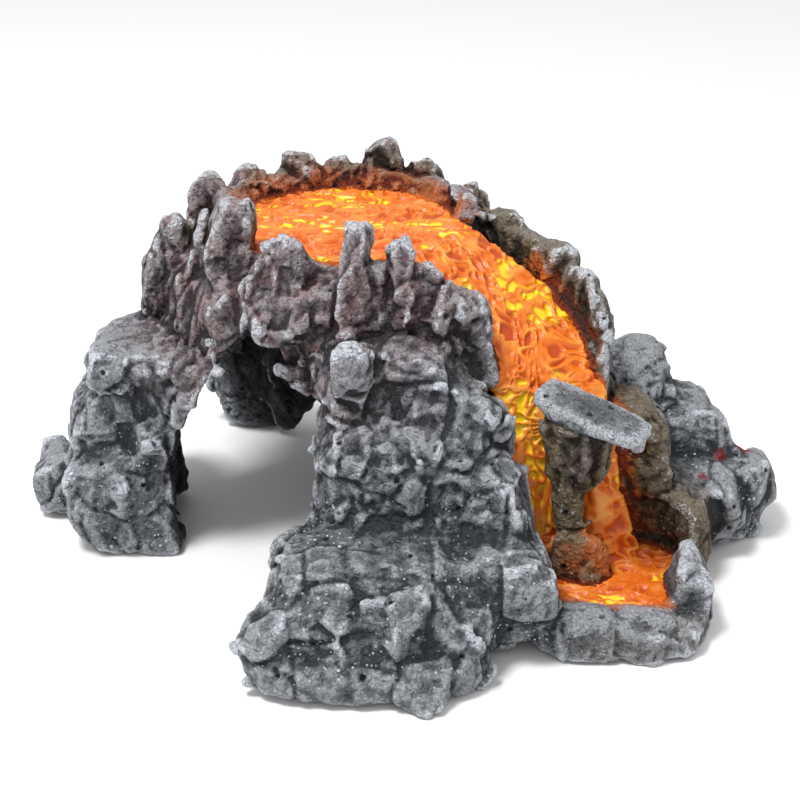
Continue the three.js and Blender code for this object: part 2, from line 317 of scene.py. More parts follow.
def coarse_distances(points, triangles, step, reach):
    """A coarse field of distances that reaches far."""
    low = np.floor((np.array(CAD_LOW) - MARGIN) / step).astype(int)
    shape = np.ceil((np.array(CAD_HIGH) + MARGIN) / step).astype(int) - low + 1
    field = np.full(shape, reach, np.float32)
    level_set(points, triangles, step, reach).copyToArray(field, ijk=tuple(int(i) for i in low))
    return np.clip(field, -reach, reach), low, step


def lava_distances():
    """A coarse field of how far the lava is."""
    all_points, all_triangles, start = [], [], 0
    for name in LAVA:
        points, triangles = mesh_arrays(frame["nodes"][name].data)
        all_points.append(points)
        all_triangles.append(triangles + start)
        start += len(points)
    joined = np.concatenate(all_points), np.concatenate(all_triangles)
    return coarse_distances(*joined, LAVA_STEP, LAVA_REACH)


def spots_at(indices):
    """The place of each grid point given by its three index arrays."""
    return (np.stack(indices, 1) + GRID_LOW).astype(np.float32) * np.float32(VOXEL)


def smooth_least(a, b, radius):
    """The lesser of a and b, with the crease where they meet filled to about that radius."""
    blend = np.clip(radius - np.abs(a - b), 0, None) / radius
    return np.minimum(a, b) - blend * blend * radius / 4


FACET_NUMBER = 14  # flat sides on a stone, spread evenly all round it along a spiral
FACET_LEAN = 0.22  # how far a stone's sides are turned from those even directions
FACET_OUT = (0.72, 1.0)  # how far out the sides are, in the stone's radii
EDGE_POWER = 24.0  # the higher it is, the less a stone's edges are worn
STONE_FALL = 0.85  # how deep a stone's middle counts as, in its least radius

_turns = np.arange(FACET_NUMBER) * math.pi * (3 - math.sqrt(5))
_heights = 1 - (2 * np.arange(FACET_NUMBER) + 1) / FACET_NUMBER
_rings = np.sqrt(1 - _heights**2)
FACETS = np.stack([_rings * np.cos(_turns), _rings * np.sin(_turns), _heights], 1).astype(np.float32)


def stone_distance(points, centre, radii, turn, seed):
    """How far points are from a stone with flat facets and worn edges."""
    chance = np.random.default_rng(seed)
    ways = FACETS + chance.normal(0, FACET_LEAN, FACETS.shape).astype(np.float32)
    ways /= np.linalg.norm(ways, axis=1, keepdims=True)
    out = chance.uniform(*FACET_OUT, FACET_NUMBER).astype(np.float32)
    matrix = np.array(Euler(turn).to_matrix(), np.float32)
    q = (points - np.asarray(centre, np.float32)) @ matrix / np.asarray(radii, np.float32)
    reach = np.clip(q @ ways.T / out, 0, None)
    size = np.power(np.power(reach, EDGE_POWER).sum(-1), 1 / EDGE_POWER)
    return (size - 1) * min(radii) * STONE_FALL


STONE_ROOM = 3 * MM  # round a stone, where its fillet can reach


def add_stone(field, part, centre, radii, turn, seed, fillet):
    """Adds a stone to field, the distances at the grid points in part."""
    reach = max(radii) + STONE_ROOM
    inside = part_of_grid(np.asarray(centre) - reach, np.asarray(centre) + reach)
    shared = tuple(slice(max(a.start, b.start), min(a.stop, b.stop)) for a, b in zip(inside, part))
    if any(s.stop <= s.start for s in shared):
        return
    local = tuple(slice(s.start - p.start, s.stop - p.start) for s, p in zip(shared, part))
    distance = stone_distance(places(shared), centre, radii, turn, seed)
    field[local] = smooth_least(field[local], distance, fillet)


# Strewn stones: how far apart they are and how far from the lava, in stone sizes; which slopes they lie on,
# by the upward share of the way out; their radii, in stone sizes; their share of the casting's tallness; how
# deep they are sunk, in radii; how far they lean and turn at most; and the fillet at their feet.
STREWN_SPACING = 2.1
STREWN_FROM_LAVA = 2.2
STREWN_SLOPES = (-0.3, 0.6)
STREWN_SIZES = (0.65, 1.25)
STREWN_TALL = 0.45
STREWN_SUNK = (0.68, 0.92)
STREWN_LEAN = 0.5
STREWN_TURN = 3.0
STREWN_FILLET = 0.8 * MM


def strewn_places(points, triangles, spacing, chance):
    """Places and outward directions spread evenly over a surface."""
    corners = points[triangles]
    across = np.cross(corners[:, 1] - corners[:, 0], corners[:, 2] - corners[:, 0])
    areas = np.linalg.norm(across, axis=1) / 2
    count = int(areas.sum() / spacing**2)
    chosen = chance.choice(len(areas), count, p=areas / areas.sum())
    u, v = chance.random((2, count, 1))
    flip = u + v > 1
    u, v = np.where(flip, 1 - u, u), np.where(flip, 1 - v, v)
    a, b, c = (corners[chosen, i] for i in range(3))
    return a + u * (b - a) + v * (c - a), across[chosen] / (2 * areas[chosen, None])


def strew_stones(name, part, field, points, triangles, seed):
    """Adds a casting's strewn stones to its field. None is close to the lava or on level ground."""
    size = character(name)["stones"]
    lowest, highest = character(name)["stones_between"]
    chance = np.random.default_rng(seed)
    for place, out in zip(*strewn_places(points, triangles, STREWN_SPACING * size, chance)):
        from_lava = sampled(lava_field, place[None].astype(np.float32))[0]
        slopes = STREWN_SLOPES[0] < out[2] < STREWN_SLOPES[1]
        if not lowest < place[2] < highest or not slopes or from_lava < STREWN_FROM_LAVA * size:
            continue
        radii = size * chance.uniform(*STREWN_SIZES, 3)
        radii[2] *= 1 + STREWN_TALL * (character(name)["tall"] - 1)
        sunk = chance.uniform(*STREWN_SUNK)
        turn = chance.uniform(-STREWN_LEAN, STREWN_LEAN, 3)
        turn[2] *= STREWN_TURN / STREWN_LEAN
        centre = place - out * radii.min() * sunk
        add_stone(field, part, centre, radii, turn, int(chance.integers(1 << 30)), STREWN_FILLET)


def casting_field(name, seed):
    """The slices of the grid round a casting, and the distances there from it and the stones on it."""
    points, triangles = mesh_arrays(frame["nodes"][name].data)
    grid = level_set(points, triangles, VOXEL, BAND)
    part = part_of_grid(points.min(0) - MARGIN, points.max(0) + MARGIN)
    field = np.full([s.stop - s.start for s in part], BAND, np.float32)
    grid.copyToArray(field, ijk=start_of(part))
    field = np.clip(field, -BAND, BAND)
    if name == "cone_shell":
        add_rim(part, field)
    if name == "front_buttress":
        add_foot_boulders(part, field)
    if name in ROCKS and character(name)["stones"]:
        strew_stones(name, part, field, points, triangles, seed)
    return part, field


# Stones that join the rocks round the crater, by their directions from its middle in degrees: behind it, and
# in front. Then how much wider their ring is than the lava, their mean height above it, how that height
# swings from one to the next, as an angle, how much lower the front ones are, and their radii.
RIM_BEHIND, RIM_IN_FRONT = range(10, 176, 11), range(186, 280, 12)
RIM_WIDER = 9 * MM
RIM_HEIGHT = 1.5 * MM
RIM_SWING = 2.4
RIM_DROP = 7 * MM
RIM_RADII = (6.5 * MM, 8.5 * MM, 7.5 * MM)
RIM_FILLET = 1.5 * MM
RIM_SEED = 300


def add_rim(part, field):
    """Joins the rocks round the crater at their feet."""
    low, high = (np.array(corner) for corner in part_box("crater_lava"))
    middle = (low + high) / 2
    for number, degrees in enumerate([*RIM_BEHIND, *RIM_IN_FRONT]):
        way = np.array([math.cos(math.radians(degrees)), math.sin(math.radians(degrees)), 0])
        place = middle + way * (high[0] - low[0] + RIM_WIDER) / 2
        drop = RIM_DROP if degrees in RIM_IN_FRONT else 0
        place[2] = high[2] + RIM_HEIGHT * (1 + math.sin(RIM_SWING * number)) - drop
        turn = (0, 0, math.radians(degrees))
        add_stone(field, part, place, RIM_RADII, turn, RIM_SEED + number, RIM_FILLET)


# Boulders on the front foot: their centres from the corner of its box, and their radii, in mm.
FOOT_BOULDERS = (
    ((12, 19, 15), (14, 12, 17)),
    ((31, 17, 12), (13, 12, 16)),
    ((47, 18, 17), (14, 11, 19)),
    ((63, 20, 12), (13, 12, 15)),
)
FOOT_FILLET = 1.2 * MM
FOOT_SEED = 400


def add_foot_boulders(part, field):
    """Adds the boulders on the front foot, each turned a little further than the one before."""
    corner = np.array(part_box("front_buttress")[0])
    for number, (place, radii) in enumerate(FOOT_BOULDERS):
        turn = (0.3, 0.4 - 0.3 * number, 0.5 * number)
        radii = [radius * MM for radius in radii]
        centre = corner + np.array(place) * MM
        add_stone(field, part, centre, radii, turn, FOOT_SEED + number, FOOT_FILLET)


# Facets, in three sizes: their size, how much their heights differ, how steeply they tilt, and how deep and
# wide the cracks round them are.
CELL_SIZES = (
    (15 * MM, 0.8 * MM, 0.17, 1.5 * MM, 2.6 * MM),
    (7.5 * MM, 0.4 * MM, 0.22, 0.8 * MM, 1.8 * MM),
    (3.6 * MM, 0.22 * MM, 0.30, 0.35 * MM, 1.0 * MM),
)
SMALLEST_FLAT = 7 * MM  # facets down to this size are flat, and smaller ones follow what they lie on
FLATTEN = 2.0 * MM  # the most that a facet is moved to make it flat
FLATNESS = 0.8  # the share of its curve that a facet loses
LARGE = 12 * MM  # facets smaller than this are fainter low down, where the rock is smoother
FAINTEST = 0.4  # their depth at the bottom, as a share
SMOOTH_BELOW, ROUGH_ABOVE = 24 * MM, 46 * MM  # heights

# Long cracks between beds of rock: the way across the beds, how far apart they are, and how deep.
BEDS = (
    ((0.35, -0.20, 0.91), 17 * MM, 1.1 * MM),
    ((-0.55, 0.30, 0.78), 23 * MM, 1.2 * MM),
    ((0.80, 0.55, 0.20), 31 * MM, 1.0 * MM),
)
CRACK_WIDTH = 0.9 * MM  # from its middle to its side


def cracked(points):
    """How deep the long cracks are at each point. They wander, and each is open only along parts."""
    depth = 0
    for number, (way, apart, deep) in enumerate(BEDS):
        across = points @ np.array(way, np.float32) / apart + 0.30 * noise(points, 21 * MM, 101.0 + number)
        across = across + 0.07 * noise(points, 6 * MM, 107.0 + number)
        off = np.abs(across - np.round(across)) * apart
        opened = smoothstep(-0.1, 0.35, noise(points, 26 * MM, 113.0 + number))
        depth = depth + deep * opened * np.clip(1 - off / CRACK_WIDTH, 0, 1)
    return depth


def slope(field, points):
    """Which way a field of distances rises at each point, and how steeply."""
    step = field[2]
    ways = []
    for axis in range(3):
        ahead = np.zeros(3, np.float32)
        ahead[axis] = step
        ways.append((sampled(field, points + ahead) - sampled(field, points - ahead)) / (2 * step))
    return np.stack(ways, 1)


def unit(ways):
    """The directions, each of length 1."""
    return ways / np.maximum(np.linalg.norm(ways, axis=1, keepdims=True), 1e-9)


def dot(a, b):
    """The dot product of each pair of directions."""
    return np.einsum("ij,ij->i", a, b)


RIB_SIZE, RIB_DEPTH = 7.5 * MM, 2.6 * MM
RIB_SQUASH = 0.28  # heights count this much, so that ribs run down the rock


def fluted(points):
    """Ribs that run down the rock: how far they stand out."""
    bent = points + 3.5 * MM * wander(points, 14 * MM, 203.0, 207.0, 211.0)
    squashed = bent * np.array([1, 1, RIB_SQUASH], np.float32)
    return (ridged(squashed, RIB_SIZE, 3, 217.0) - 0.5) * RIB_DEPTH


def faceted(points, distance, tall, rough):
    """How far flat tilted facets between cracks stand out, in three sizes."""
    stretch = np.stack([np.ones_like(tall), np.ones_like(tall), tall], 1)
    bent = (points + 2.6 * MM * wander(points, 17 * MM, 3.1, 9.7, 15.3)) / stretch
    depth = 0
    for size, high, tilt, crack, width in CELL_SIZES:
        share = 1 if size > LARGE else FAINTEST + (1 - FAINTEST) * rough
        near, following, way, number = cells(bent, size, size / MM)
        if size >= SMALLEST_FLAT:
            middle = points - way * size * stretch
            plane = sampled(rough_field, middle) + dot(slope(rough_field, middle), points - middle)
            depth = depth + FLATNESS * share * np.clip(distance - plane, -FLATTEN, FLATTEN)
        lean = 2 * CENTRES[number] - 1
        step = 2 * HEIGHTS[number] - 1
        inside = np.clip((following - near) * size / width, 0, 1)
        inside *= 2 - inside
        depth = depth + share * inside * (high * step + tilt * size * dot(way, lean))
        depth = depth - share * crack * (1 - inside)
    return depth


LUMP_SIZE, LUMP_DEPTH = 12 * MM, 0.7 * MM
TOP_SMOOTHER = 0.6  # level tops lose this share of their facets


def carved(points, distance, tall, facets, lumps, flutes, wear):
    """How far the rock stands out at each point, with its facets, cracks, lumps and ribs. Beside the lava it
    neither opens a gap nor hangs over."""
    rough = smoothstep(SMOOTH_BELOW, ROUGH_ABOVE, points[:, 2])
    upward = slope(rough_field, points)[:, 2]
    facets = facets * (1 - TOP_SMOOTHER * smoothstep(0.6, 0.9, upward))
    relief = (faceted(points, distance, tall, rough) - cracked(points)) * facets
    relief += layered(points, LUMP_SIZE, 3, 31.0) * LUMP_DEPTH * lumps
    relief += fluted(points) * flutes * rough * (1 - smoothstep(0.45, 0.8, upward))
    from_lava = np.clip(sampled(lava_field, points), 0, None)
    return np.clip(relief - wear, -0.35 * from_lava - 0.2 * MM, 0.3 * from_lava).astype(np.float32)


lava_field = lava_distances()
castings = {}

# At each grid point, the distances to the nearest casting and to the next one, and the nearest one's number.
nearest = np.full(GRID_SHAPE, BAND, np.float32)
second = np.full(GRID_SHAPE, BAND, np.float32)
owner = np.full(GRID_SHAPE, NOTHING, np.uint8)
for index, name in enumerate(NAMES):
    part, field = casting_field(name, index)
    castings[name] = part, field
    closer = field < nearest[part]
    second[part] = np.where(closer, nearest[part], np.minimum(second[part], field))
    owner[part][closer] = index
    nearest[part] = np.minimum(nearest[part], field)


def surface_of(field, start):
    """The surface where a field of distances is 0, as points and four-cornered faces."""
    grid = openvdb.FloatGrid(BAND)
    grid.transform = openvdb.createLinearTransform(VOXEL)
    grid.copyFromArray(field.astype(np.float32), ijk=start)
    return grid.convertToQuads(0.0)


def redistanced(field, reach):
    """True distances, out to reach, from the surface where a field is 0, and the surface itself."""
    points, quads = surface_of(field, GRID_START)
    triangles = np.concatenate([quads[:, [0, 1, 2]], quads[:, [0, 2, 3]]])
    distances = np.full(GRID_SHAPE, reach, np.float32)
    level_set(points, triangles, VOXEL, reach).copyToArray(distances, ijk=GRID_START)
    return np.clip(distances, -reach, reach), (points, triangles)


def filled_in(field):
    """The field with its narrow hollows filled, except close to the lava and up among the spires."""
    growth = min(FILL, BAND - VOXEL)
    grown, _ = redistanced(field - growth, BAND + FILL)
    shrunk = grown + growth
    hollow = np.nonzero(shrunk < field - 0.05 * MM)
    spots = spots_at(hollow)
    from_lava = sampled(lava_field, spots)
    share = smoothstep(5 * MM, 13 * MM, from_lava) * smoothstep(96 * MM, 84 * MM, spots[:, 2])
    share *= ~np.isin(owner[hollow], [NAMES.index(name) for name in NAMES if name.startswith(APART)])
    field[hollow] += share * (shrunk[hollow] - field[hollow])
    return field


RUGGED = ("tall", "facets", "lumps", "flutes")


def ruggedness():
    """How each casting is carved, by its number in NAMES, with its wear last. Lava isn't carved."""
    table = np.zeros((NOTHING + 1, len(RUGGED) + 1), np.float32)
    table[:, RUGGED.index("tall")] = 1
    for index, name in enumerate(NAMES):
        if name in ROCKS:
            table[index] = [character(name)[key] for key in RUGGED] + [WEAR]
    return table


def with_relief(field):
    """The field with each rock's relief, which fades away from the surface."""
    near = np.nonzero(np.abs(field) < CARVED)
    kinds = ruggedness()[owner[near]]
    relief = in_parts(lambda p, d, k: carved(p, d, *k.T), spots_at(near), field[near], kinds)
    fade = np.clip(RELIEF_FADE - RELIEF_FADE * np.abs(field[near]) / CARVED, 0, 1)
    field[near] -= relief * fade
    return field


def without_horns(field):
    """The field with what is thinner than twice THINNEST taken off."""
    return np.maximum(field, redistanced(field + THINNEST, BAND + THINNEST)[0] - THINNEST)


def on_floor(field):
    """The field with all that reaches below the floor cut off."""
    heights = (np.arange(GRID_SHAPE[2]) + GRID_LOW[2]) * VOXEL
    return np.maximum(field, -heights.astype(np.float32))


solid = filled_in(redistanced(smooth_least(nearest, second, FILLET) - SWELL, BAND)[0])
solid, surface = redistanced(solid, BAND)
rough_field = coarse_distances(*surface, ROUGH_STEP, ROUGH_REACH)
solid = on_floor(without_horns(with_relief(solid)))


# ---- What the paint follows --------


def blurred(values, reach):
    """The mean over a cube that reaches that far each way."""
    r = max(1, int(round(reach / VOXEL)))
    for axis in range(3):
        pad = [(0, 0)] * 3
        pad[axis] = (r + 1, r)
        total = np.cumsum(np.pad(values, pad, "edge"), axis, dtype=np.float32)
        count = values.shape[axis]
        upper = np.take(total, range(2 * r + 1, 2 * r + 1 + count), axis)
        lower = np.take(total, range(count), axis)
        values = (upper - lower) / np.float32(2 * r + 1)
    return values


# The share of the room round each point that is solid: half on a flat surface, less on a crest, and more in a
# hollow. The paint is darker where it is high, partly a dark wash and partly painted shade: wide_fill in
# hollows, and deep_fill where rock stands over the lava.
filled = np.clip(0.5 - solid / (1.5 * VOXEL), 0, 1).astype(np.float32)
fine_fill = blurred(filled, 1.6 * MM)
wide_fill = blurred(filled, 4.5 * MM)
deep_fill = blurred(wide_fill, 12 * MM)

CRATER_LOW, CRATER_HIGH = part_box("crater_lava")
CRATER = (CRATER_LOW + CRATER_HIGH) / 2
CRATER_MIDDLE = np.array([CRATER.x, CRATER.y], np.float32)

# ---- Pieces --------


def largest_part(count, edges):
    """Which points are joined to the largest set of points that are joined to each other."""
    root = np.arange(count)
    while True:
        a, b = root[edges[:, 0]], root[edges[:, 1]]
        low = np.minimum(a, b)
        np.minimum.at(root, a, low)
        np.minimum.at(root, b, low)
        new = root[root]
        if np.array_equal(new, root):
            break
        root = new
    while not np.array_equal(root, root[root]):
        root = root[root]
    return root == np.bincount(root, minlength=count).argmax()


def carved_mesh(name):
    """A casting's own share of the solid, as points and four-cornered faces."""
    part, field = castings[name]
    index = NAMES.index(name)
    other = np.where(owner[part] == index, second[part], nearest[part])
    own = np.clip(np.maximum(solid[part], (field - other) / 2 - OVERLAP), -BAND, BAND)
    points, quads = surface_of(own, start_of(part))
    edges = np.concatenate([quads[:, [0, 1]], quads[:, [1, 2]], quads[:, [2, 3]]])
    kept = largest_part(len(points), edges.astype(np.int64))
    quads = quads[kept[quads[:, 0]]]
    used = np.zeros(len(points), bool)
    used[quads.ravel()] = True
    renumber = np.cumsum(used) - 1
    return points[used].astype(np.float32), renumber[quads][:, ::-1].astype(np.int32)


def new_mesh(name, points, quads):
    """A mesh made of those points and four-cornered faces."""
    mesh = bpy.data.meshes.new(name)
    mesh.vertices.add(len(points))
    mesh.vertices.foreach_set("co", points.ravel())
    mesh.loops.add(quads.size)
    mesh.loops.foreach_set("vertex_index", quads.ravel())
    mesh.polygons.add(len(quads))
    mesh.polygons.foreach_set("loop_start", np.arange(0, quads.size, 4, dtype=np.int32))
    mesh.update(calc_edges=True)
    mesh.validate()
    mesh.polygons.foreach_set("use_smooth", np.ones(len(mesh.polygons), bool))
    mesh.set_sharp_from_angle(angle=SHARP)
    return mesh


def set_attribute(mesh, name, values):
    """Gives each point of a mesh a value that its material can read."""
    attribute = mesh.attributes.new(name, "FLOAT", "POINT")
    attribute.data.foreach_set("value", np.asarray(values, np.float32))


PIT_SPACING = 8 * MM
PIT_DEPTH = 1.0 * MM
PIT_RADII = (0.05, 0.12)  # as shares of their spacing
WITHOUT_PIT = 0.4  # the share of places that have no pit


def rock_relief(points):
    """Fine roughness: how far it stands out, and how much of that is a pit."""
    rough = layered(points, 2.2 * MM, 3, 41.0) * 0.12 * MM
    rough += (ridged(points, 4.2 * MM, 3, 47.0) - 0.45) * 0.22 * MM
    near, _, _, number = cells(points, PIT_SPACING, 53.0)
    smallest, largest = PIT_RADII
    radius = (smallest + (largest - smallest) * HEIGHTS[number]) * (HEIGHTS[number] > WITHOUT_PIT)
    pit = np.clip(1 - near / np.maximum(radius, 1e-3), 0, 1) * (radius > 0)
    return (rough - PIT_DEPTH * np.sqrt(pit)).astype(np.float32), pit.astype(np.float32)


def rope(points, size, thick, shift):
    """Cords that wander and close on themselves: from 0 between them to 1 along their tops."""
    value = noise(points, size, shift)
    return np.clip(1 - np.abs(value) * size / thick, 0, 1)


ROPE_HEIGHT = 1.3 * MM
ROPE_SUNK = 0.3  # the share of its height by which a rope's foot is below the plain surface


def lava_relief(points):
    """Ropes of cooled lava, thick ones and slim ones: how far they stand out, from 0 to 1."""
    bend = 5 * MM * wander(points, 12 * MM, 61.0, 67.0, 71.0)
    curl = 1.1 * MM * wander(points, 5 * MM, 83.0, 89.0, 97.0)
    bent = points + bend + curl
    ropes = np.maximum(rope(bent, 3.9 * MM, 2.0 * MM, 73.0), 0.85 * rope(bent, 3.0 * MM, 1.4 * MM, 79.0))
    return (ropes * ropes * (3 - 2 * ropes)).astype(np.float32)


CHUTE_MIDDLE = 64 * MM  # to the right of the crater's middle


def yellow_places(points):
    """Where the lava is brushed yellow, from 0 to 1: in patches, most of them left of the chute's middle."""
    patch = layered(points, 12 * MM, 2, 151.0)
    left = smoothstep(14 * MM, -6 * MM, points[:, 0] - (CRATER.x + CHUTE_MIDDLE))
    return smoothstep(0.12, 0.28, patch + 0.24 * left - 0.10)


def split_quads(points, quads):
    """Each four-cornered face cut into four, with new points on its sides and in its middle."""
    sides = np.stack([quads, np.roll(quads, -1, 1)], 2).reshape(-1, 2)
    sides, number = np.unique(np.sort(sides, 1), axis=0, return_inverse=True)
    on_side = number.reshape(-1, 4) + len(points)
    middle = np.arange(len(quads)) + len(points) + len(sides)
    corners = np.stack(
        [np.stack([quads[:, i], on_side[:, i], middle, on_side[:, i - 1]], 1) for i in range(4)], 1
    )
    points = np.concatenate([points, points[sides].mean(1), points[quads].mean(1)])
    return points.astype(np.float32), corners.reshape(-1, 4).astype(np.int32)


def faces_lava(points, out):
    """From 0 to 1, how much the surface looks towards the lava, or across the crater from above it."""
    away = unit(slope(lava_field, points))
    across = unit(CRATER_MIDDLE - points[:, :2])
    inward = smoothstep(-0.2, 0.5, dot(across, out[:, :2]))
    above = smoothstep(CRATER_HIGH.z - 8 * MM, CRATER_HIGH.z, points[:, 2])
    towards = smoothstep(-0.25, 0.55, -dot(away, out))
    return np.maximum(towards, 0.55 * inward * above)


CAVE_ASIDE = 10 * MM  # how far the cave's middle is to the left of the cone's
CAVE_HEIGHT = 30 * MM  # of its middle
CAVE_REACH = (74 * MM, 62 * MM)  # its walls lie this far from its middle at most, with a soft end


def in_cave(points, out):
    """From 0 to 1, how much a point is on the inside of the cave, which gets painted shade."""
    low, high = (np.array(corner, np.float32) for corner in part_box("cone_shell"))
    middle = np.array([(low[0] + high[0]) / 2 - CAVE_ASIDE, (low[1] + high[1]) / 2, CAVE_HEIGHT], np.float32)
    way = middle - points
    across = np.linalg.norm(way[:, :2], axis=1)
    inward = dot(way, out) / np.linalg.norm(way, axis=1)
    return smoothstep(0.0, 0.35, inward) * smoothstep(*CAVE_REACH, across)


# How far from the lava each sprayed colour lies, from where it ends to where it is full, and how far its
# patches shift that. Purple goes by the distance from the crater's middle and by height.
ORANGE_FULL, ORANGE_PATCH = 1 * MM, 6 * MM
ORANGE_ALWAYS = (3.2 * MM, 1.2 * MM)  # rock this near is orange whichever way it faces
BROWN_FACING = (26 * MM, 9 * MM)  # on rock that faces the lava
BROWN_ALL = (32 * MM, 14 * MM)  # on all the rock of a casting that is painted brown
BROWN_PATCH = 8 * MM
PURPLE_ASIDE, PURPLE_ASIDE_PATCH = (86 * MM, 58 * MM), 8 * MM
PURPLE_HEIGHT, PURPLE_HEIGHT_PATCH = (50 * MM, 66 * MM), 6 * MM


def airbrushed(points, out, look):
    """Where each sprayed colour lies on rock, from 0 to 1: orange, brown and purple."""
    from_lava = sampled(lava_field, points)
    facing = faces_lava(points, out)
    patch = layered(points, 9 * MM, 3, 131.0)
    orange = facing * smoothstep(look["sprayed"], ORANGE_FULL, from_lava + ORANGE_PATCH * patch)
    orange = np.maximum(orange, look["orange"] * smoothstep(-0.4, 0.4, patch))
    orange = np.maximum(orange, smoothstep(*ORANGE_ALWAYS, from_lava))
    from_lava = from_lava + BROWN_PATCH * patch
    brown = facing * smoothstep(*BROWN_FACING, from_lava)
    brown = np.maximum(brown, look["brown"] * smoothstep(*BROWN_ALL, from_lava))
    aside = np.linalg.norm(points[:, :2] - CRATER_MIDDLE, axis=1)
    high = smoothstep(*PURPLE_HEIGHT, points[:, 2] + PURPLE_HEIGHT_PATCH * patch)
    purple = high * smoothstep(*PURPLE_ASIDE, aside + PURPLE_ASIDE_PATCH * patch)
    return orange, brown, purple


# Spots of red paint on the low rock at the right: from the corner of its end boulder's box, and how wide.
RED_SPOTS = (
    ((13.5 * MM, 16.5 * MM, 29 * MM), 5.5 * MM),
    ((3.4 * MM, 6.6 * MM, 31 * MM), 3.0 * MM),
    ((-3.3 * MM, -2.4 * MM, 28 * MM), 2.2 * MM),
)


def spotted(points):
    """Where the red spots are, from 0 to 1."""
    corner = np.array(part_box("outcrop_end_boulder")[0], np.float32)
    ragged = 1.5 * MM * layered(points, 3 * MM, 2, 161.0)
    most = 0
    for place, wide in RED_SPOTS:
        away = np.linalg.norm(points - corner - np.array(place, np.float32), axis=1) + ragged
        most = np.maximum(most, smoothstep(wide, 0.4 * wide, away))
    return most


def chalked(points, out):
    """Where a dry brush left chalky paint on the rock, from 0 to 1: on crests and sharp edges."""
    crest = 0.5 - sampled(on_grid(fine_fill), points)
    ridge = 0.5 - sampled(on_grid(wide_fill), points)
    upward = 0.03 * out[:, 2]
    patch = 0.12 * layered(points, 16 * MM, 2, 141.0) + 0.03 * layered(points, 3 * MM, 2, 145.0)
    return smoothstep(0.17, 0.28, 0.6 * crest + 0.9 * ridge + upward + patch)


def lava_surface(points, out, at_surface):
    """A lava piece's points moved out to its ropes, and what its paint follows."""
    relief = in_parts(lava_relief, points)
    points = points + out * ((relief - ROPE_SUNK) * ROPE_HEIGHT * at_surface)[:, None]
    # Upward and hidden give painted shade on the lava: where it is level, and where rock stands over it.
    paint = {"rope": relief, "yellow": in_parts(yellow_places, points), "upward": out[:, 2]}
    paint["hidden"] = sampled(on_grid(deep_fill), points)
    return points, paint


def rock_surface(points, out, at_surface, look):
    """A rock piece's points moved to its fine roughness, and what its paint follows."""
    relief, pit = in_parts(rock_relief, points)
    points = points + out * (relief * at_surface * smoothstep(0, 1.5 * MM, points[:, 2]))[:, None]
    paint = {"pit": pit, "fine": 0.5 + relief / (1.0 * MM)}
    sprayed = in_parts(lambda p, o: airbrushed(p, o, look), points, out)
    paint["orange"], paint["brown"], paint["purple"] = sprayed
    # The inside of the cave is painted near black, as painted shade.
    paint["cave"] = in_cave(points, out)
    paint["chalk"] = in_parts(chalked, points, out) * look["chalk"]
    # Crevice and crest make the paint darker in hollows, partly a dark wash and partly painted shade.
    paint["crevice"] = sampled(on_grid(wide_fill), points)
    paint["crest"] = sampled(on_grid(fine_fill), points)
    paint["red"] = spotted(points)
    # Level tops are painted paler, partly dust and partly painted light from above.
    paint["upward"] = out[:, 2] * look["dust_and_top_light"]
    paint["low"] = smoothstep(60 * MM, 34 * MM, points[:, 2]) * (0.35 + 0.65 * (out[:, 1] < 0.3))
    return points, paint


def make_piece(name):
    """The piece that stands for a casting."""
    points, quads = carved_mesh(name)
    if name in LAVA:
        points, quads = split_quads(points, quads)
    out = unit(slope(on_grid(solid), points))
    at_surface = np.abs(sampled(on_grid(solid), points)) < 0.6 * VOXEL
    if name in LAVA:
        points, paint = lava_surface(points, out, at_surface)
    else:
        points, paint = rock_surface(points, out, at_surface, character(name))
    points[:, 2] = np.maximum(points[:, 2], 0)
    mesh = new_mesh(name, points, quads)
    for title, values in paint.items():
        set_attribute(mesh, title, values)
    piece = bpy.data.objects.new(name + "_casting", mesh)
    bpy.context.scene.collection.objects.link(piece)
    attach(piece, "root")
    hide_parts(name)
    return piece


pieces = {name: make_piece(name) for name in NAMES}

# ---- Materials --------


